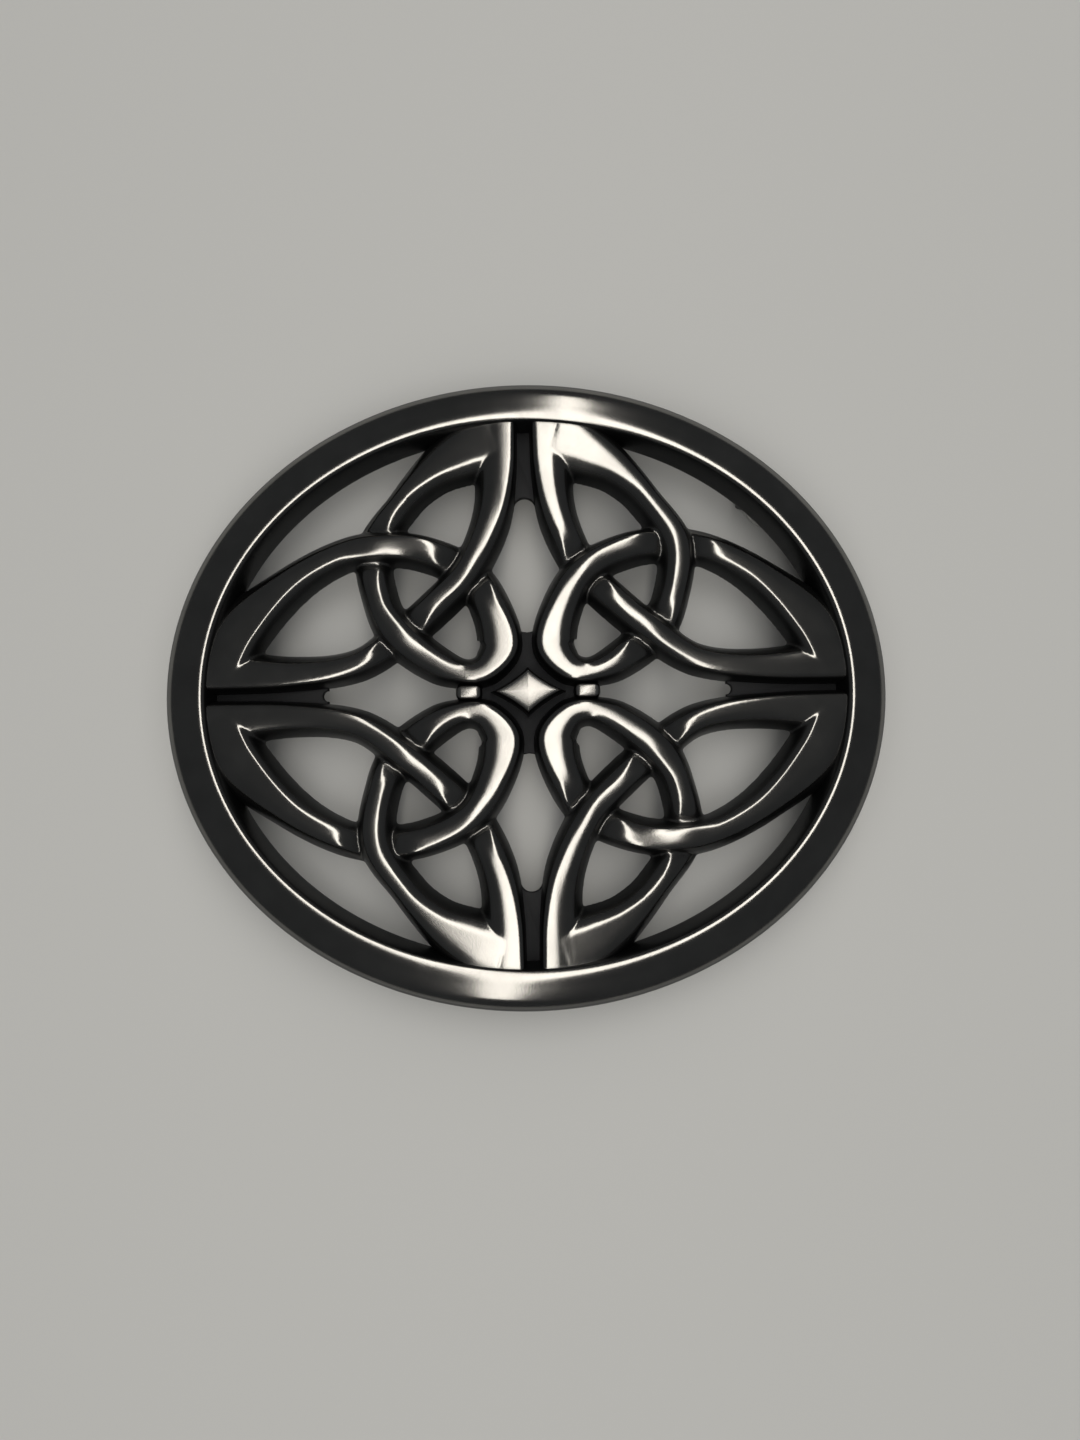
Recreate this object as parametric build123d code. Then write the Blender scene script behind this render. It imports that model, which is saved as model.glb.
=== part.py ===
from build123d import *
from math import asin, cos, degrees, radians, sin, sqrt
import os

# An oval openwork belt buckle, lying on its back with its face up.
# Millimetres. +Z points out of the face, +X to the bail end, +Y up the face.
# The origin is the middle of the buckle, on the surface that it lies on.
os.makedirs("parts", exist_ok=True)

# Face plate
plate_length = 80.0
plate_width = 70.0
stand_off = 6.0            # from the surface up to the flat back of the plate
rim_width = 5.6
rim_height = 3.4
rim_edge_height = 1.9      # upright wall round the outside
rim_crest_inset = 4.3      # from the outside in to the crest
rim_swell = 0.825          # height of the slope halfway to the crest, as a share of it

# Knotwork strands
strand_half_width = 2.0
strand_height = 3.0
strand_side_height = 1.9   # upright sides, below the slopes up to the crest
strand_crest = 0.6         # reach of the flat along the crest, as a share of the strand's
strand_root = 0.9          # how far the strands' ends run into the rim's wall
lap_height = 1.5           # crossing strands halve into each other at this height
groove_half_width = 0.5    # the grooves along both axes, which part the four knots
web_height = 1.1           # floor of the grooves

# Where the grooves' floors end, from the middle of the plate
top_web_start = 21.0
side_web_start = 22.5
centre_web_half_length = 8.8
centre_web_half_width = 8.0

# Centre ornaments, which stand on the centre web
boss_half_length = 3.9
boss_half_width = 2.5
boss_waist = 0.4           # how far out the hollow sides stay, as a share of each half size
boss_height = 2.1
boss_side_height = 0.6     # upright sides, below the pyramid
boss_top = 0.3             # size of the boss's top, as a share of its foot
bead_length = 2.4
bead_width = 1.2
bead_height = 1.5
bead_chamfer = 0.35

# Belt peg at the -X end
peg_place = 29.5
peg_radius = 1.5
peg_lean = 18.0            # degrees from upright, towards the bail
peg_collar_radius = 2.4
peg_collar_length = 1.9    # from the plate's back, along the lean
peg_base_radius = 3.4
peg_base_thickness = 0.9

# Swinging bail at the +X end
wire_radius = 1.2
pivot_clearance = 0.06     # radial, round the wire in the lugs
lug_wall = 1.0
lug_width = 1.8
lug_gap = 0.3              # from the bail's legs out to the lugs
strap_width = 38.0
strap_clearance = 0.3      # each side of the strap
bail_leg_length = 3.4      # from the pivots out to where the bow starts
bail_edge_inset = 1.5      # from the outside of the plate in to the bow's middle line
bail_bend = 1.5            # bend radius of the wire, at its middle line
pivot_overhang = 0.3       # how far the wire stands out of the lugs

opening_half_length = plate_length / 2 - rim_width
opening_half_width = plate_width / 2 - rim_width
web_top = stand_off + web_height
lap_plane = stand_off + lap_height
above_all = stand_off + 3 * strand_height

# The knot of the +X +Y quadrant. Places are in hundredths of the opening's half
# length and half width, from the middle of the plate. With each place along a
# strand's crest goes its reach to the left and to the right of the crest, in
# strand half widths: the strands swell where they run into the rim.
pole_tip = (17.0, 91.0)          # where the strands meet at the top of the rim
side_tip = (92.0, 12.0)          # where they meet at the side of the rim
centre_tip = (20.0, 8.0)         # the inmost loop
crossing_pole = (19.0, 46.5)
crossing_side = (41.0, 22.5)
crossing_rim = (49.7, 55.5)

long_strand = [
    (6.2, 104.0, 1.9, 0.75),
    (6.8, 84.0, 1.6, 0.8),
    (11.0, 65.5, 1.2, 1.1),
    (*crossing_pole, 1.05, 1.1),
    (29.0, 35.0, 0.95, 1.2),
    (*crossing_side, 1.0, 1.1),
    (55.0, 11.5, 0.95, 0.95),
    (76.0, 5.8, 1.45, 0.6),
    (103.0, 5.0, 2.0, 0.6),
]
side_strand = [
    (95.0, 7.0, 0.9, 2.4),
    (88.5, 22.0, 0.85, 2.1),
    (75.0, 41.5, 0.95, 1.3),
    (61.0, 52.0, 0.9, 1.15),
    (*crossing_rim, 1.0, 1.1),
    (34.0, 56.0, 1.3, 0.8),
    (*crossing_pole, 1.15, 1.05),
    (10.5, 33.0, 1.35, 0.95),
    (6.0, 17.5, 1.8, 0.85),
    (12.5, 8.2, 1.5, 0.75),
    (21.0, 6.2, 1.4, 0.6),
]
pole_strand = [
    (19.0, 6.2, 1.35, 0.65),
    (28.5, 10.5, 1.5, 1.1),
    (*crossing_side, 1.15, 1.25),
    (47.5, 34.0, 1.15, 0.95),
    (*crossing_rim, 1.2, 1.0),
    (39.5, 74.5, 1.15, 0.8),
    (29.0, 84.0, 1.1, 1.05),
    (17.0, 90.0, 1.3, 2.0),
    (9.0, 93.0, 1.3, 2.6),
]


def at(place):
    return Vector(place[0] / 100 * opening_half_length, place[1] / 100 * opening_half_width)


def prism(face, bottom, top):
    return extrude(Pos(0, 0, bottom) * face, amount=top - bottom)


def mid_box(length, width, middle=(0, 0)):
    return Pos(middle[0], middle[1]) * Rectangle(length, width)


# Rim: one section swept round the oval. It has an upright edge, a swelling
# slope up to the crest, and a steep wall down into the opening. Its sunk part is
# cut off, which leaves the back a true flat.
def rim_section():
    sunk_edge = (0, -rim_edge_height)
    edge_top = (0, rim_edge_height)
    crest = (-rim_crest_inset, rim_height)
    shoulder = (-rim_crest_inset / 2, rim_height * rim_swell)
    foot = (-rim_width, 0)
    sunk_foot = (-rim_width, -rim_edge_height)
    outline = [
        Line(sunk_edge, edge_top),
        ThreePointArc(edge_top, shoulder, crest),
        Polyline(crest, foot, sunk_foot, sunk_edge),
    ]
    end_of_oval = Plane(
        origin=(plate_length / 2, 0, stand_off), x_dir=(1, 0, 0), z_dir=(0, -1, 0))
    return end_of_oval * make_face(outline)


rim_blank = sweep(rim_section(), path=Edge.make_ellipse(plate_length / 2, plate_width / 2))
rim = rim_blank - Pos(0, 0, stand_off) * Box(
    2 * plate_length, 2 * plate_width, stand_off, align=(Align.CENTER, Align.CENTER, Align.MAX))


# Strands. Each is a bar between two smooth edges, either side of its crest.
def band(strand, share=1.0):
    """The outline of a strand, or of the stretch beside its crest that is a share of it."""
    half_width = share * strand_half_width
    crest = [at(point) for point in strand]
    last = len(crest) - 1
    left_edge = []
    right_edge = []
    for i, (_, _, left, right) in enumerate(strand):
        along = (crest[min(i + 1, last)] - crest[max(i - 1, 0)]).normalized()
        aside = Vector(-along.Y, along.X)
        left_edge.append(crest[i] + aside * left * half_width)
        right_edge.append(crest[i] - aside * right * half_width)
    outline = [
        Spline(left_edge),
        Line(left_edge[-1], right_edge[-1]),
        Spline(right_edge[::-1]),
        Line(right_edge[0], left_edge[0]),
    ]
    return make_face(outline)


def ridged(strand):
    """The bar of a strand: flat back, upright sides, and slopes up to its crest."""
    shoulder = stand_off + strand_side_height
    foot_face = band(strand)
    slopes = loft([
        Pos(0, 0, shoulder) * foot_face,
        Pos(0, 0, stand_off + strand_height) * band(strand, strand_crest),
    ], ruled=True)
    return prism(foot_face, stand_off, shoulder) + slopes


def around(place, reach):
    middle = at(place)
    return Pos(middle.X, middle.Y, stand_off) * Cylinder(reach, 6 * strand_height)


def butt(bar, neighbour_face, place):
    """Trim a strand's end against the strand that it runs into."""
    reach = 4 * strand_half_width
    return bar - (prism(neighbour_face, 0, above_all) & around(place, reach))


def lap(over, under, over_face, under_face, place):
    """Halve two strands into each other where one crosses over the other."""
    zone = around(place, 2.6 * strand_half_width)
    over = over - (prism(under_face, 0, lap_plane) & zone)
    under = under - (prism(over_face, lap_plane, above_all) & zone)
    return over, under


long_face = band(long_strand)
side_face = band(side_strand)
pole_face = band(pole_strand)
quarter = Pos(groove_half_width, groove_half_width, 0) * Box(
    plate_length, plate_width, 2 * above_all, align=(Align.MIN, Align.MIN, Align.CENTER))
inside_rim = prism(
    Ellipse(opening_half_length + strand_root, opening_half_width + strand_root), 0, above_all)


def knot(long_over_side):
    """The three strands of the +X +Y knot. Its crossings alternate, so one says them all."""
    long_bar = ridged(long_strand)
    side_bar = butt(ridged(side_strand), long_face, side_tip)
    pole_bar = butt(ridged(pole_strand), long_face, pole_tip)
    pole_bar = butt(pole_bar, side_face, centre_tip)
    if long_over_side:
        long_bar, side_bar = lap(long_bar, side_bar, long_face, side_face, crossing_pole)
        side_bar, pole_bar = lap(side_bar, pole_bar, side_face, pole_face, crossing_rim)
        pole_bar, long_bar = lap(pole_bar, long_bar, pole_face, long_face, crossing_side)
    else:
        side_bar, long_bar = lap(side_bar, long_bar, side_face, long_face, crossing_pole)
        pole_bar, side_bar = lap(pole_bar, side_bar, pole_face, side_face, crossing_rim)
        long_bar, pole_bar = lap(long_bar, pole_bar, long_face, pole_face, crossing_side)
    bars = {"long_strand": long_bar, "side_strand": side_bar, "pole_strand": pole_bar}
    return {name: (bar & quarter & inside_rim) - rim for name, bar in bars.items()}


side_over = knot(long_over_side=False)
long_over = knot(long_over_side=True)
half_turn = Rot(0, 0, 180)
parts = {"rim": rim}
for name in side_over:
    parts["upper_right_" + name] = side_over[name]
    parts["lower_left_" + name] = half_turn * side_over[name]
    upper_left = mirror(long_over[name], about=Plane.YZ)
    parts["upper_left_" + name] = upper_left
    parts["lower_right_" + name] = half_turn * upper_left


# Webs: the thin floors that join the knots along the grooves
def all_round(face):
    across = mirror(face, about=Plane.YZ)
    return [face, across, mirror(face, about=Plane.XZ), mirror(across, about=Plane.XZ)]


quarter_face = mid_box(
    plate_length, plate_width,
    (plate_length / 2 + groove_half_width, plate_width / 2 + groove_half_width))
knot_faces = []
for strand_face in (long_face, side_face, pole_face):
    knot_faces += all_round(strand_face & quarter_face)


def web(floor):
    for face in knot_faces:
        floor = floor - face
    return prism(floor, stand_off, web_top) - rim


web_strip = 2 * strand_half_width
top_web_length = plate_width / 2 - rim_crest_inset - top_web_start
side_web_length = plate_length / 2 - rim_crest_inset - side_web_start
top_web = web(mid_box(web_strip, top_web_length, (0, top_web_start + top_web_length / 2)))
side_web = web(mid_box(side_web_length, web_strip / 2, (side_web_start + side_web_length / 2, 0)))
centre_cross = (mid_box(2 * centre_web_half_length, web_strip / 2)
                + mid_box(web_strip, 2 * centre_web_half_width)
                + mid_box(2 * web_strip, 1.5 * web_strip))
parts["top_web"] = top_web
parts["bottom_web"] = half_turn * top_web
parts["right_web"] = side_web
parts["left_web"] = half_turn * side_web
parts["centre_web"] = web(centre_cross)


# Centre ornaments: a four-pointed boss between two beads
def boss_face():
    tips = [(boss_half_length, 0), (0, boss_half_width), (-boss_half_length, 0),
            (0, -boss_half_width), (boss_half_length, 0)]
    sides = []
    for start, end in zip(tips, tips[1:]):
        hollow = ((start[0] + end[0]) * boss_waist, (start[1] + end[1]) * boss_waist)
        sides.append(ThreePointArc(start, hollow, end))
    return make_face(sides)


boss_shoulder = web_top + boss_side_height
boss_pyramid = loft([
    Pos(0, 0, boss_shoulder) * boss_face(),
    Pos(0, 0, web_top + boss_height) * scale(boss_face(), by=boss_top),
])
bead_place = at(pole_strand[0]).X          # between the ends of the inmost loops
bead_blank = prism(
    Pos(bead_place, 0) * SlotOverall(bead_length, bead_width), web_top, web_top + bead_height)
bead = chamfer(bead_blank.edges().group_by(Axis.Z)[-1], bead_chamfer)
for name in side_over:
    bead = bead - parts["upper_right_" + name] - parts["lower_right_" + name]
parts["centre_boss"] = prism(boss_face(), web_top, boss_shoulder) + boss_pyramid
parts["right_bead"] = bead
parts["left_bead"] = half_turn * bead


# Belt peg: a leaning rod with a round end, on a collar let into a round base plate
peg_slope = radians(peg_lean)
peg_length = (stand_off - peg_radius) / cos(peg_slope)
peg_root = Plane(
    origin=(-peg_place, 0, stand_off), z_dir=(sin(peg_slope), 0, -cos(peg_slope)))
peg_end = peg_root.origin + peg_root.z_dir * peg_length
peg_rod = peg_root * Cylinder(
    peg_radius, peg_length, align=(Align.CENTER, Align.CENTER, Align.MIN))
peg_collar = peg_root * Pos(0, 0, -peg_collar_length) * Cylinder(
    peg_collar_radius, 2 * peg_collar_length, align=(Align.CENTER, Align.CENTER, Align.MIN))
peg_blank = peg_rod + peg_collar + Pos(peg_end.X, peg_end.Y, peg_end.Z) * Sphere(peg_radius)
under_plate = Pos(0, 0, stand_off) * Box(
    2 * plate_length, 2 * plate_width, stand_off, align=(Align.CENTER, Align.CENTER, Align.MAX))
belt_peg = peg_blank & under_plate
peg_base = Pos(-peg_place, 0, stand_off) * Cylinder(
    peg_base_radius, peg_base_thickness, align=(Align.CENTER, Align.CENTER, Align.MAX))
parts["belt_peg"] = belt_peg
parts["peg_base"] = peg_base - belt_peg

# Bail: one bent wire. Its bow lies under the rim, its legs run in to the pivot
# line, and its ends turn out through the lugs. At rest the bow touches the
# surface that the buckle lies on.
pivot_height = wire_radius + lug_wall
bow_end = plate_length / 2 - bail_edge_inset
leg_place = strap_width / 2 + strap_clearance + wire_radius
lug_inner = leg_place + wire_radius + lug_gap
pivot_end = lug_inner + lug_width + pivot_overhang
bow_half_width = plate_width / 2 - bail_edge_inset
corner_along = bow_end * sqrt(1 - (leg_place / bow_half_width) ** 2)
pivot_line = corner_along - bail_leg_length
bail_drop = degrees(asin((pivot_height - wire_radius) / (bow_end - pivot_line)))


def bail_wire():
    corners = [(pivot_line, pivot_end), (pivot_line, leg_place), (corner_along, leg_place)]
    far_corners = [(along, -across) for along, across in corners[::-1]]
    path = Wire([
        *Polyline(corners).edges(),
        ThreePointArc(corners[-1], (bow_end, 0), far_corners[0]).edge(),
        *Polyline(far_corners).edges(),
    ])
    bends = [v for v in path.vertices() if abs(v.Y) < pivot_end - wire_radius]
    path = path.fillet_2d(bail_bend, bends)
    return Pos(0, 0, pivot_height) * path


def bail():
    path = bail_wire()
    section = Plane(origin=path @ 0, z_dir=path % 0) * Circle(wire_radius)
    pivots = Axis((pivot_line, 0, pivot_height), (0, 1, 0))
    return sweep(section, path=path).rotate(pivots, bail_drop)


def lug():
    """A rounded ear under the rim, bored along Y for the bail's wire."""
    outer = wire_radius + lug_wall
    outline = Circle(outer) + Rectangle(
        2 * outer, stand_off - pivot_height, align=(Align.CENTER, Align.MIN))
    outline = outline - Circle(wire_radius + pivot_clearance)
    start = Plane(
        origin=(pivot_line, lug_inner, pivot_height), x_dir=(-1, 0, 0), z_dir=(0, 1, 0))
    return extrude(start * outline, amount=lug_width)


parts["bail"] = bail()
parts["upper_lug"] = lug()
parts["lower_lug"] = mirror(lug(), about=Plane.XZ)

for name, part in parts.items():
    export_step(part, "parts/" + name + ".step")
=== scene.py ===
from math import cos, exp, pi, radians, sin, sqrt

import bmesh
import bpy
from mathutils import Euler, Matrix, Vector


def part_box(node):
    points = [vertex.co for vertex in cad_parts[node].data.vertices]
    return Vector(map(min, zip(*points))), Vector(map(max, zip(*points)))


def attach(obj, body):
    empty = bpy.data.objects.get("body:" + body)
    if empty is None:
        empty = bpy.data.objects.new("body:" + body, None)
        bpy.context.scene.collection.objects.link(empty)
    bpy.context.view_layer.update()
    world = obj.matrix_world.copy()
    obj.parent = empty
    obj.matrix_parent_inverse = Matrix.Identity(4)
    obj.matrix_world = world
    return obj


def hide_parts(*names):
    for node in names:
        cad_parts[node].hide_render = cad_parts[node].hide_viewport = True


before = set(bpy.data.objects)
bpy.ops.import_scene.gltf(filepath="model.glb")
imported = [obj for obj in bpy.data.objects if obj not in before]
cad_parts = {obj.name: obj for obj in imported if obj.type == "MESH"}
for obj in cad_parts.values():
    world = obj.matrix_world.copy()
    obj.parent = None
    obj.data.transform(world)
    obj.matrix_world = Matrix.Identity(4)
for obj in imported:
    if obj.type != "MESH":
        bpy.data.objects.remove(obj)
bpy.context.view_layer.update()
MM = 0.001


# ---- Camera -----------------------------------------------------------------
# The eye is a hand's breadth above the buckle, a little below its middle, and
# leans forward by a few degrees.
camera_place = Vector((-0.86, -11.5, 127.0)) * MM
camera_turn = Euler((radians(4.01), radians(-0.93), radians(-1.17)))
camera_data = bpy.data.cameras.new("camera")
camera_data.lens = 27.05
camera_data.clip_start = 5 * MM
camera = bpy.data.objects.new("camera", camera_data)
camera.location = camera_place
camera.rotation_euler = camera_turn
bpy.context.scene.collection.objects.link(camera)
bpy.context.scene.camera = camera


# ---- Studio -----------------------------------------------------------------
# A wide pale table, a long narrow soft light overhead that runs up the face,
# and a dim even room, so that the metal's slopes mirror something dark.
bpy.context.scene.view_settings.view_transform = "Standard"
table_half = 1.5
table_top = bpy.data.materials.new("table_top")
table_top.use_nodes = True
table_shader = table_top.node_tree.nodes["Principled BSDF"]
table_shader.inputs["Base Color"].default_value = (0.60, 0.60, 0.58, 1)
table_shader.inputs["Roughness"].default_value = 0.6
table_mesh = bpy.data.meshes.new("table")
bm = bmesh.new()
bmesh.ops.create_grid(bm, x_segments=1, y_segments=1, size=table_half)
bm.to_mesh(table_mesh)
bm.free()
table = bpy.data.objects.new("table", table_mesh)
table_mesh.materials.append(table_top)
bpy.context.scene.collection.objects.link(table)


def soft_light(name, place, aim, size, power):
    """A rectangular lamp at a place, facing another; size is across and along, in metres."""
    data = bpy.data.lights.new(name, "AREA")
    data.shape = "RECTANGLE"
    data.size, data.size_y = size
    data.energy = power
    light = bpy.data.objects.new(name, data)
    light.location = place
    light.rotation_euler = (Vector(aim) - Vector(place)).to_track_quat("-Z", "Y").to_euler()
    bpy.context.scene.collection.objects.link(light)
    return light


strip = soft_light("strip", (0.030, 0.15, 0.60), (0.030, 0.15, 0), (0.09, 2.3), 3.15)
strip.rotation_euler.z = radians(-6.5)
strip.data.color = (1.0, 0.96, 0.90)
ceiling = soft_light("ceiling", (0, 0, 1.2), (0, 0, 0), (1.8, 1.8), 8.5)
ceiling.visible_glossy = False     # it lights the table, and the metal doesn't mirror it

world = bpy.data.worlds.new("room")
bpy.context.scene.world = world
world.use_nodes = True
world.node_tree.nodes["Background"].inputs["Color"].default_value = (0.92, 0.96, 1, 1)
world.node_tree.nodes["Background"].inputs["Strength"].default_value = 0.07


# ---- Rim --------------------------------------------------------------------
# The oval frame: an upright edge, a slope that swells up to a narrow crest, and a
# steep wall down into the opening. It's pewter, cast in one with the whole face,
# blackened all over and then rubbed back, so it's bright only where a cloth reaches;
# its narrow hollows are also painted darker as shade.
plate_low, plate_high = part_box("rim")
plate_back = plate_low.z
rim_width = 5.6 * MM
rim_around = 288                   # stretches round the oval
rim_profile = [
    (0.3, 0.0), (0.10, 0.0), (0.0, 0.10), (0.0, 0.95), (0.1, 1.36), (0.35, 1.78), (0.75, 2.17),
    (1.35, 2.55), (2.1, 2.86), (2.9, 3.12), (3.4, 3.28), (3.75, 3.36), (4.0, 3.38), (4.25, 3.355),
    (4.5, 3.29), (4.7, 3.13), (4.88, 2.72), (5.1, 1.95), (5.35, 0.95), (5.55, 0.12), (5.5, 0.0),
    (5.3, 0.0),
]                                  # in from the outside, and up from the back, in mm
hollow_reach = 3.0 * MM            # a hollow narrower than this keeps its black and is painted darker as shade
rubbed_span = 0.48                 # from the least rubbed slope to the fully rubbed one
back_rub = 0.45                    # how far the belt has rubbed the flat back
mottle_scale = 300.0               # blotches and grain, per metre
grain_scale = 5200.0
smudge_depth = 0.10                # how much the blotches change the roughness
grain_depth = 0.04 * MM


def noise(nodes, links, place, scale, detail):
    """A noise texture's value, in the piece's own metres."""
    texture = nodes.new("ShaderNodeTexNoise")
    texture.inputs["Scale"].default_value = scale
    texture.inputs["Detail"].default_value = detail
    links.new(place, texture.inputs["Vector"])
    return texture.outputs["Fac"]


def stepped(nodes, links, value, low, high, to_low=0.0, to_high=1.0):
    """A value carried smoothly from one range to another."""
    step = nodes.new("ShaderNodeMapRange")
    step.interpolation_type = "SMOOTHSTEP"
    step.inputs["From Min"].default_value = low
    step.inputs["From Max"].default_value = high
    step.inputs["To Min"].default_value = to_low
    step.inputs["To Max"].default_value = to_high
    links.new(value, step.inputs["Value"])
    return step.outputs["Result"]


def combined(nodes, links, operation, first, second):
    """Two values, or a value and a number, put together by a Math node."""
    maths = nodes.new("ShaderNodeMath")
    maths.operation = operation
    for value, socket in zip((first, second), maths.inputs):
        if isinstance(value, float):
            socket.default_value = value
        else:
            links.new(value, socket)
    return maths.outputs["Value"]


def pewter(name, black, worn, rough_black, rough_worn, rubbed_from=0.45):
    """Blackened metal, worn paler and smoother where it faces up, and kept dark in narrow hollows by
    ambient occlusion, which is partly black that no cloth reaches and partly painted shade.

    rubbed_from is how far up a face has to look before it is rubbed at all. It's the height
    of the face's normal, so with -1 all but the underside is rubbed.
    """
    material = bpy.data.materials.new(name)
    material.use_nodes = True
    nodes = material.node_tree.nodes
    links = material.node_tree.links
    shader = nodes["Principled BSDF"]
    shader.inputs["Metallic"].default_value = 1.0
    place = nodes.new("ShaderNodeTexCoord")
    facing = nodes.new("ShaderNodeSeparateXYZ")
    links.new(place.outputs["Normal"], facing.inputs["Vector"])
    mottle = noise(nodes, links, place.outputs["Object"], mottle_scale, 5.0)
    grain = noise(nodes, links, place.outputs["Object"], grain_scale, 2.0)
    # Ambient occlusion darkens the colour in narrow hollows: partly the black no cloth reaches,
    # partly painted shade.
    hollow = nodes.new("ShaderNodeAmbientOcclusion")
    hollow.inputs["Distance"].default_value = hollow_reach
    open_share = stepped(nodes, links, hollow.outputs["AO"], 0.35, 0.95)
    level = stepped(nodes, links, facing.outputs["Z"], rubbed_from, rubbed_from + rubbed_span)
    underneath = stepped(nodes, links, facing.outputs["Z"], -0.98, -0.85, back_rub, 0.0)
    level = combined(nodes, links, "MAXIMUM", level, underneath)
    worn_share = combined(nodes, links, "MULTIPLY", open_share, level)
    uneven = stepped(nodes, links, mottle, 0.25, 0.75, 0.8, 1.0)
    worn_share = combined(nodes, links, "MULTIPLY", worn_share, uneven)
    colour = nodes.new("ShaderNodeMix")
    colour.data_type = "RGBA"
    colour.inputs["A"].default_value = (*black, 1)
    colour.inputs["B"].default_value = (*worn, 1)
    links.new(worn_share, colour.inputs["Factor"])
    links.new(colour.outputs["Result"], shader.inputs["Base Color"])
    roughness = stepped(nodes, links, worn_share, 0.0, 1.0, rough_black, rough_worn)
    smudge = combined(nodes, links, "MULTIPLY_ADD", mottle, smudge_depth)
    smudge.node.inputs[2].default_value = -smudge_depth / 2
    links.new(combined(nodes, links, "ADD", roughness, smudge), shader.inputs["Roughness"])
    bump = nodes.new("ShaderNodeBump")
    bump.inputs["Strength"].default_value = 0.06
    bump.inputs["Distance"].default_value = grain_depth
    links.new(grain, bump.inputs["Height"])
    links.new(bump.outputs["Normal"], shader.inputs["Normal"])
    return material


cast_pewter = pewter("cast_pewter", (0.060, 0.062, 0.064), (0.27, 0.264, 0.25), 0.42, 0.13)


def flow(points, steps):
    """Evenly many points along a smooth line through the given ones, ends included."""
    points = [Vector(p) for p in points]
    last = len(points) - 1
    line = []
    for i in range(last):
        before, here, there, after = (points[max(i - 1, 0)], points[i], points[i + 1],
                                      points[min(i + 2, last)])
        span = (there - here).length
        leave = (there - before) * (span / (span + (here - before).length))
        arrive = (after - here) * (span / (span + (after - there).length))
        for k in range(steps + (i == last - 1)):
            t = k / steps
            line.append(here * (2 * t ** 3 - 3 * t ** 2 + 1) + leave * (t ** 3 - 2 * t ** 2 + t)
                        + there * (3 * t ** 2 - 2 * t ** 3) + arrive * (t ** 3 - t ** 2))
    return line


def finished(name, bm, material, body, *nodes):
    """The piece made from a bmesh: smooth, in its material, riding on a body for its nodes."""
    mesh = bpy.data.meshes.new(name)
    bm.to_mesh(mesh)
    bm.free()
    piece = bpy.data.objects.new(name, mesh)
    bpy.context.scene.collection.objects.link(piece)
    mesh.shade_smooth()
    mesh.materials.append(material)
    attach(piece, body)
    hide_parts(*nodes)
    return piece


half_length = plate_high.x
half_width = plate_high.y
bm = bmesh.new()
profile = flow(rim_profile, 3)
section = [bm.verts.new((half_length - inset * MM, 0, plate_back + up * MM)) for inset, up in profile]
section_edges = [bm.edges.new(pair) for pair in zip(section, section[1:] + section[:1])]
bmesh.ops.spin(bm, geom=section + section_edges, cent=(0, 0, 0), axis=(0, 0, 1), angle=2 * pi,
               steps=rim_around, use_merge=True)
for vert in bm.verts:
    turn = Vector((vert.co.x, vert.co.y)).normalized()
    inset = half_length - vert.co.xy.length
    out = Vector((turn.x * half_width, turn.y * half_length)).normalized()
    vert.co.x = half_length * turn.x - inset * out.x
    vert.co.y = half_width * turn.y - inset * out.y
bmesh.ops.remove_doubles(bm, verts=bm.verts, dist=0.01 * MM)
bmesh.ops.recalc_face_normals(bm, faces=bm.faces)
rim = finished("oval_rim", bm, cast_pewter, "plate", "rim")


# ---- Knots ------------------------------------------------------------------
# In each quarter a long rib and a looped one weave over and under one another. They
# are cast as one, with softly filled crossings, and each crest has a fuller side.
opening_x = half_length - rim_width
opening_y = half_width - rim_width
crossing_pole = (19.0, 46.5)       # in hundredths of the opening's half length and width
crossing_side = (41.0, 22.5)
crossing_rim = (49.7, 55.5)
knot_back = plate_back + 0.06 * MM # the knots' backs lie just inside the rim's
rib_half = 2.0 * MM
rib_height = 2.85                  # the ribs' heights are in mm above the plate's back
rib_foot = 0.3                     # the top of a rib's cast edge
rib_rise = 0.12                    # over a crossing
rib_dip = 1.9                      # under a crossing
dip_reach = 2.3 * MM               # how far along the rib that rise or dip is felt
rib_steps = 12                     # sections from one point to the next
knot_voxel = 0.155 * MM
knot_softening = 8                 # rounds
filed_from = 19 * MM               # a pole tip is filed from here on, more and more
filed_run = 6 * MM                 # until this much further out,
filed_crest = 2.6 * MM             # and only beyond its crest along the groove

# place, reach left and right of the crest in half widths, and how full each side
# is: 1 falls straight from the crest to the foot, and 4 stays level, then drops
long_at_pole, long_at_side = 3, 5              # which points are the crossings
long_rib = [
    (5.4, 104.0, 2.4, 0.6, 5.0, 9.0),
    (6.1, 84.0, 1.8, 0.65, 4.5, 7.0),
    (10.4, 65.5, 1.3, 1.0, 4.0, 4.5),
    (*crossing_pole, 1.05, 1.1, 3.5, 3.5),
    (29.0, 35.0, 0.95, 1.2, 3.5, 3.5),
    (*crossing_side, 1.0, 1.1, 3.5, 3.5),
    (55.0, 11.5, 0.95, 0.95, 3.5, 3.5),
    (76.0, 5.8, 1.45, 0.6, 4.0, 3.2),
    (103.0, 5.0, 2.2, 0.6, 5.0, 3.2),
]
loop_at_rim, loop_at_pole, loop_at_side, loop_back_at_rim = 4, 6, 12, 14
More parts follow.
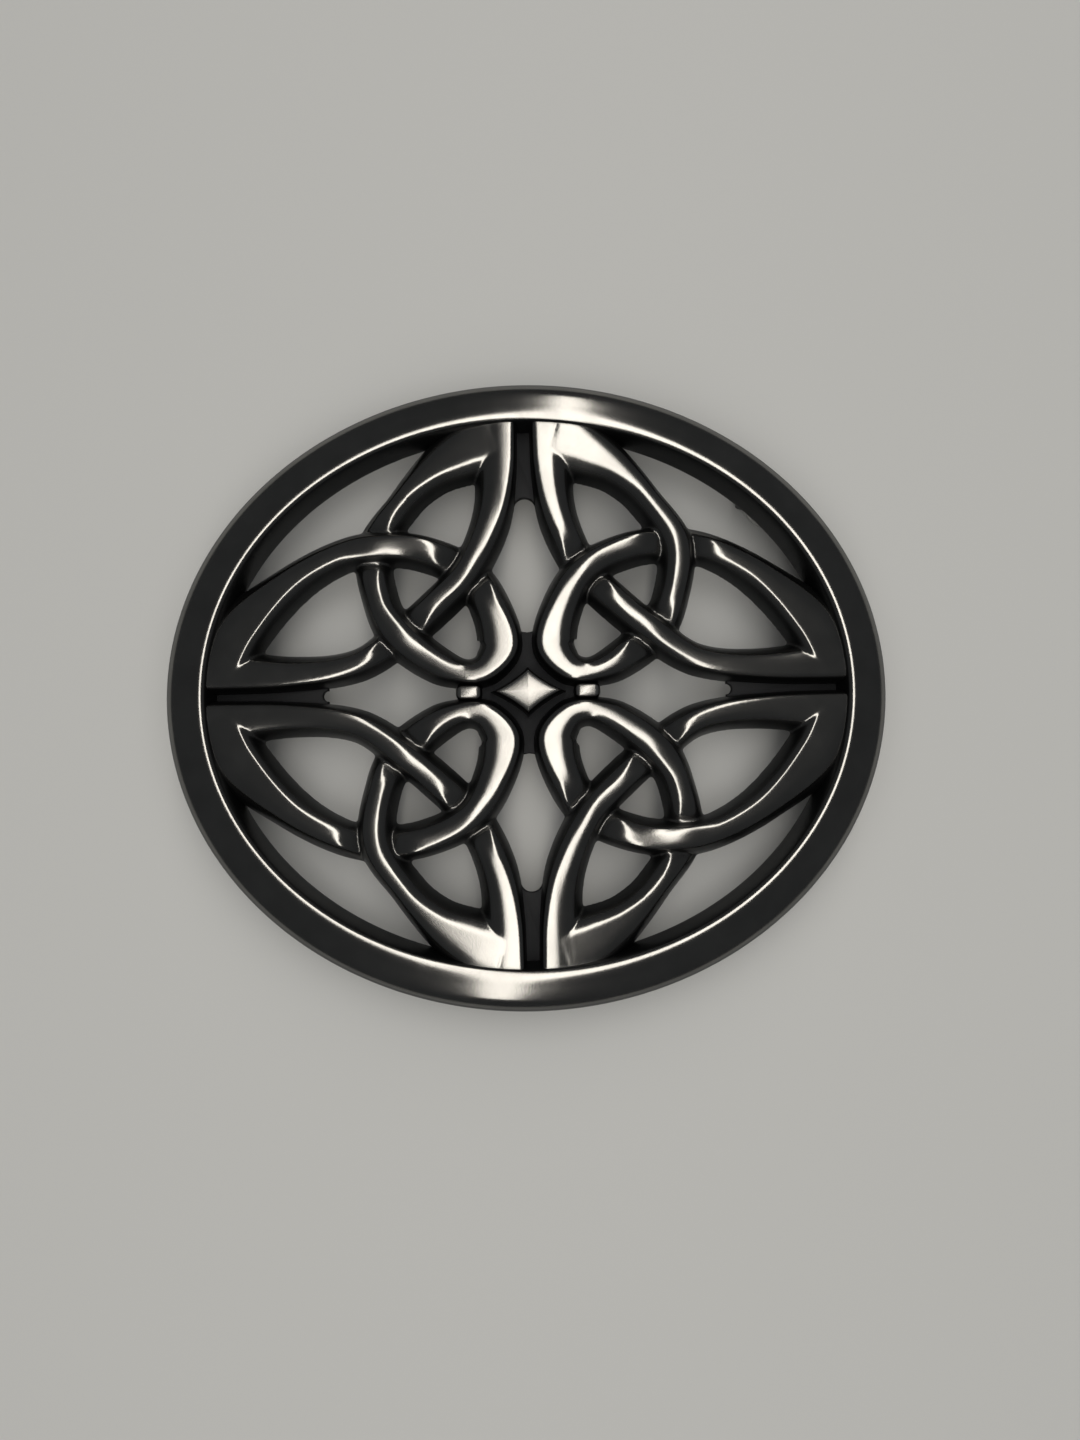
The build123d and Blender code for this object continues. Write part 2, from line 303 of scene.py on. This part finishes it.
loop_rib = [
    (95.0, 7.0, 0.9, 2.7, 3.0, 7.0),
    (88.5, 22.0, 0.85, 2.6, 2.6, 6.0),
    (75.0, 41.5, 0.95, 1.45, 2.6, 4.5),
    (61.0, 52.0, 0.9, 1.15, 3.0, 3.5),
    (*crossing_rim, 1.0, 1.1, 3.5, 3.5),
    (34.0, 56.0, 1.3, 0.8, 3.5, 3.5),
    (*crossing_pole, 1.15, 1.05, 3.5, 3.5),
    (10.3, 33.0, 1.45, 0.95, 5.0, 4.0),
    (5.8, 17.5, 1.9, 0.75, 6.5, 5.0),
    (12.3, 8.0, 1.3, 0.75, 5.0, 4.0),
    (20.0, 6.2, 1.05, 0.66, 4.0, 3.0),
    (28.5, 10.5, 1.1, 1.05, 3.5, 3.3),
    (*crossing_side, 1.15, 1.25, 3.5, 3.5),
    (47.5, 34.0, 1.15, 0.95, 3.5, 3.5),
    (*crossing_rim, 1.2, 1.0, 3.5, 3.5),
    (39.5, 74.5, 1.15, 0.9, 2.8, 3.5),
    (29.0, 84.0, 1.1, 1.6, 2.6, 5.0),
    (17.0, 90.0, 1.3, 2.6, 2.6, 7.0),
    (9.0, 93.0, 1.3, 2.8, 3.0, 8.0),
]
shares = [1.0, 0.97, 0.92, 0.86, 0.78, 0.68, 0.57, 0.45, 0.32, 0.2, 0.09]
across = [(share, 1) for share in shares] + [(0.0, 1)] + [(share, -1) for share in shares[::-1]]


def at(place):
    """A place given in hundredths of the opening's half sizes, in metres."""
    return Vector((place[0] / 100 * opening_x, place[1] / 100 * opening_y))


def rib(bm, points, over, under):
    """Adds a rib that passes over at some of its points and under at others, given by index.

    A point's reaches and fullness are scaled down with its place, so that only the
    place says how far apart two points are, and scaled up again at each section.
    """
    index = bm.verts.layers.int.get("place")
    line = flow([(*at(p), *(value * MM for value in p[2:])) for p in points], rib_steps)
    ring = None
    for i, station in enumerate(line):
        crest = Vector(station[:2])
        behind = Vector(line[max(i - 1, 0)][:2])
        ahead = Vector(line[min(i + 1, len(line) - 1)][:2])
        along = (ahead - behind).normalized()
        aside = Vector((-along.y, along.x))
        left, right, left_full, right_full = (value / MM for value in station[2:])
        height = rib_height
        for crossings, change in ((over, rib_rise), (under, -rib_dip)):
            for k in crossings:
                if abs(i / rib_steps - k) < 3:         # not where it comes by again
                    height += change * exp(-((crest - at(points[k])).length / dip_reach) ** 2)
        places = []
        for share, side in across:
            reach = (left if side > 0 else right) * rib_half * side
            full = left_full if side > 0 else right_full
            up = rib_foot + (height - rib_foot) * (1 - share ** full)
            places.append((*(crest + aside * share * reach), plate_back + up * MM))
        foot_left = (*places[0][:2], knot_back)
        foot_right = (*places[-1][:2], knot_back)
        places = [foot_left] + places + [foot_right]
        if ring is None:
            verts = [bm.verts.new(place) for place in places]
            for k, vert in enumerate(verts):
                vert[index] = k
            ring = [bm.edges.new(pair) for pair in zip(verts, verts[1:] + verts[:1])]
            bmesh.ops.contextual_create(bm, geom=ring)
            continue
        grown = bmesh.ops.extrude_edge_only(bm, edges=ring)["geom"]
        ring = [g for g in grown if isinstance(g, bmesh.types.BMEdge)]
        for vert in grown:
            if isinstance(vert, bmesh.types.BMVert):
                vert.co = places[vert[index]]
    bmesh.ops.contextual_create(bm, geom=ring)


def fused(piece, voxel, rounds):
    """Melts a piece's overlapping solids into one skin and softens it like a casting."""
    melt = piece.modifiers.new("melt", "REMESH")
    melt.mode = "VOXEL"
    melt.voxel_size = voxel
    soften = piece.modifiers.new("soften", "SMOOTH")
    soften.iterations = rounds
    soften.factor = 0.5
    graph = bpy.context.evaluated_depsgraph_get()
    skin = bpy.data.meshes.new_from_object(piece.evaluated_get(graph))
    piece.modifiers.clear()
    piece.data = skin
    skin.shade_smooth()


def knot(name, flip_x, flip_y, tip_fall):
    """A quarter's knot. Quarters that touch along an axis weave the opposite way.

    tip_fall is the slope that filing left on the tip at the pole, falling from the groove.
    """
    bm = bmesh.new()
    bm.verts.layers.int.new("place")
    if flip_x == flip_y:
        rib(bm, long_rib, [long_at_side], [long_at_pole])
        rib(bm, loop_rib, [loop_at_pole, loop_back_at_rim], [loop_at_rim, loop_at_side])
    else:
        rib(bm, long_rib, [long_at_pole], [long_at_side])
        rib(bm, loop_rib, [loop_at_rim, loop_at_side], [loop_at_pole, loop_back_at_rim])
    for vert in bm.verts:
        filed = min(1, max(0, (vert.co.y - filed_from) / filed_run)) * max(0, vert.co.x - filed_crest)
        if vert.co.z > plate_back + rib_foot * MM:
            vert.co.z -= tip_fall * filed
    bmesh.ops.scale(bm, vec=(-1 if flip_x else 1, -1 if flip_y else 1, 1), verts=bm.verts)
    bmesh.ops.recalc_face_normals(bm, faces=bm.faces)
    nodes = [f"{name}_{strand}" for strand in ("long_strand", "side_strand", "pole_strand")]
    piece = finished(name + "_knot", bm, cast_pewter, "plate", *nodes)
    fused(piece, knot_voxel, knot_softening)
    return piece


knot("upper_right", False, False, -0.01)
knot("upper_left", True, False, 0.06)
knot("lower_right", False, True, 0.05)
knot("lower_left", True, True, 0.0)


# ---- Groove floors ----------------------------------------------------------
# The thin floors that join the knots along the grooves, cast with them. No cloth
# reaches them, so they keep the black of the pickling bath, painted darker still as
# shade in the deep grooves. Their free ends are hollow.
pickled_black = pewter("pickled_black", (0.030, 0.031, 0.033), (0.05, 0.05, 0.052), 0.6, 0.5)
floor_sink = 0.45 * MM             # how much lower the floors lie than the plain webs
floor_edge = 0.15 * MM
web_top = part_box("centre_web")[1].z - floor_sink


def arc(middle, radius, start, turn, steps):
    """Places along an arc, from a start angle through a turn, both in degrees."""
    for k in range(steps + 1):
        angle = radians(start + turn * k / steps)
        yield Vector(middle) + radius * Vector((cos(angle), sin(angle)))


def floor_plate(name, outline, *nodes):
    """A thin plate of an outline, given anticlockwise, from the back up to the groove's floor."""
    bm = bmesh.new()
    rim_verts = [bm.verts.new((*place, plate_back)) for place in outline]
    base = bm.faces.new(rim_verts)
    raised = bmesh.ops.extrude_face_region(bm, geom=[base])["geom"]
    lifted = [g for g in raised if isinstance(g, bmesh.types.BMVert)]
    bmesh.ops.translate(bm, vec=(0, 0, web_top - plate_back), verts=lifted)
    upper_edges = [g for g in raised if isinstance(g, bmesh.types.BMEdge)]
    bmesh.ops.bevel(bm, geom=upper_edges, offset=floor_edge, offset_type="OFFSET",
                    affect="EDGES", segments=3, profile=0.5, material=-1)
    bmesh.ops.recalc_face_normals(bm, faces=bm.faces)
    return finished(name, bm, pickled_black, "plate", *nodes)


def groove_floor(name, turn, node, half_width, root, tip, hollow):
    """A groove's floor: from the rim inwards, ending in a hollow arch between the ribs."""
    outline = [Vector((root, -half_width)), Vector((root, half_width)), Vector((tip, half_width))]
    outline += list(arc((tip, 0), hollow, 90, -180, 16))
    outline += [Vector((tip, -half_width))]
    spun = Matrix.Rotation(radians(turn), 2)
    return floor_plate(name, [spun @ place for place in outline], node)


floor_root = 0.5 * MM              # how far a floor runs in under the rim's wall
long_groove = (1.9 * MM, opening_y + floor_root, 20.9 * MM, 1.2 * MM)
short_groove = (1.0 * MM, opening_x + floor_root, 22.2 * MM, 0.6 * MM)
groove_floor("top_groove", 90, "top_web", *long_groove)
groove_floor("bottom_groove", -90, "bottom_web", *long_groove)
groove_floor("right_groove", 0, "right_web", *short_groove)
groove_floor("left_groove", 180, "left_web", *short_groove)

cross_long = 8.6 * MM              # reach of the centre floor's arms, from the middle
cross_tall = 7.6 * MM
cross_arm = 1.5 * MM               # half the width of an arm
cross_inner = Vector((3.312, 1.8)) * MM          # where two arms meet
cross_hollow = 1.9 * MM            # radius of the hollow at an arm's end
cross_bite = 1.1 * MM              # how far beyond the end its middle lies
outline = []
for turn, reach in ((0, cross_long), (90, cross_tall), (180, cross_long), (270, cross_tall)):
    spun = Matrix.Rotation(radians(turn), 2)
    arm = [Vector((cross_inner.x, -cross_inner.y)), Vector((reach, -cross_arm))]
    arm += [place for place in arc((reach + cross_bite, 0), cross_hollow, 235, -110, 8)
            if abs(place.y) < cross_arm]
    arm += [Vector((reach, cross_arm)), cross_inner]
    outline += [spun @ place for place in arm]
floor_plate("centre_floor", outline, "centre_web")


# ---- Boss -------------------------------------------------------------------
# A four-pointed pillow in the middle of the face, cast in one with its floor. It
# stands proud and is handled most, and its paler colour is also a painted highlight,
# so it's the brightest of all.
bright_pewter = pewter("bright_pewter", (0.05, 0.05, 0.05), (0.42, 0.41, 0.39), 0.36, 0.24)
boss_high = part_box("centre_boss")[1]
boss_hollow = 2.35                 # 1 is an oval, 2 has straight sides, 3 is a deep star
boss_level = 14                    # how level the pillow's top is before it rolls over
boss_dip = 0.15 * MM               # the top's middle stands this much above its shoulders
boss_spread = Vector((1.08, 1.12)) # how far its thin points run beyond the plain boss's
boss_gather = 0.8                  # below 1 it draws the sphere's rings towards the edge


def signed_power(value, power):
    """A power that keeps the sign."""
    return abs(value) ** power * (1 if value >= 0 else -1)


bm = bmesh.new()
bmesh.ops.create_uvsphere(bm, u_segments=96, v_segments=64, radius=1)
for vert in bm.verts:
    ring = sqrt(max(0.0, 1 - vert.co.z ** 2))
    reach = ring ** boss_gather
    along = vert.co.x / ring if ring > 1e-6 else 0
    across_it = vert.co.y / ring if ring > 1e-6 else 0
    rise = sqrt(max(0.0, 1 - reach ** boss_level)) * (1 if vert.co.z > 0 else -0.3)
    vert.co.x = boss_high.x * boss_spread.x * reach * signed_power(along, boss_hollow)
    vert.co.y = boss_high.y * boss_spread.y * reach * signed_power(across_it, boss_hollow)
    crown = boss_dip * (1 - reach ** 2) if vert.co.z > 0 else 0
    vert.co.z = web_top + (boss_high.z - web_top - boss_dip) * rise + crown
bmesh.ops.recalc_face_normals(bm, faces=bm.faces)
boss = finished("centre_pillow", bm, bright_pewter, "plate", "centre_boss")


# ---- Beads ------------------------------------------------------------------
# Two small barrels, one on each side of the boss, that seem to tie the loops of
# the upper and lower knots together. They are cast with the face.
barrel_size = Vector((2.9, 1.7, 2.2)) * MM
barrel_round = 0.65 * MM
# The beads take the boss's paler colour, which is partly a painted highlight.
for name, node in (("left_barrel", "left_bead"), ("right_barrel", "right_bead")):
    low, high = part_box(node)
    bm = bmesh.new()
    bmesh.ops.create_cube(bm, size=1)
    bmesh.ops.scale(bm, vec=barrel_size, verts=bm.verts)
    bmesh.ops.bevel(bm, geom=bm.edges[:], offset=barrel_round, offset_type="OFFSET", affect="EDGES",
                    segments=6, profile=0.5, material=-1)
    bmesh.ops.translate(bm, vec=((low.x + high.x) / 2, 0, high.z - barrel_size.z / 2), verts=bm.verts)
    bmesh.ops.recalc_face_normals(bm, faces=bm.faces)
    bead = finished(name, bm, bright_pewter, "plate", node)


# ---- Belt peg ---------------------------------------------------------------
# The stout pin that catches a hole in the belt, cast with the plate on a round foot
# and leaning towards the bail. The belt keeps it bare and smooth.
bare_pewter = pewter("bare_pewter", (0.08, 0.08, 0.08), (0.42, 0.41, 0.39), 0.45, 0.3, -1.0)


def dressed(node, material):
    """The CAD node itself in a material of its own."""
    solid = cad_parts[node]
    solid.data.materials.clear()
    solid.data.materials.append(material)
    return solid


dressed("belt_peg", bare_pewter)
dressed("peg_base", cast_pewter)


# ---- Lugs -------------------------------------------------------------------
# Two small ears cast on the back of the rim. Each is drilled for one end of the
# bail, which springs into it.
dressed("upper_lug", cast_pewter)
dressed("lower_lug", cast_pewter)


# ---- Bail -------------------------------------------------------------------
# The loop of drawn steel wire that the belt's end is sewn round. Its two ends turn
# outwards into the lugs, so it swings.
drawn_steel = pewter("drawn_steel", (0.10, 0.095, 0.09), (0.50, 0.50, 0.49), 0.4, 0.22, -1.0)
dressed("bail", drawn_steel)
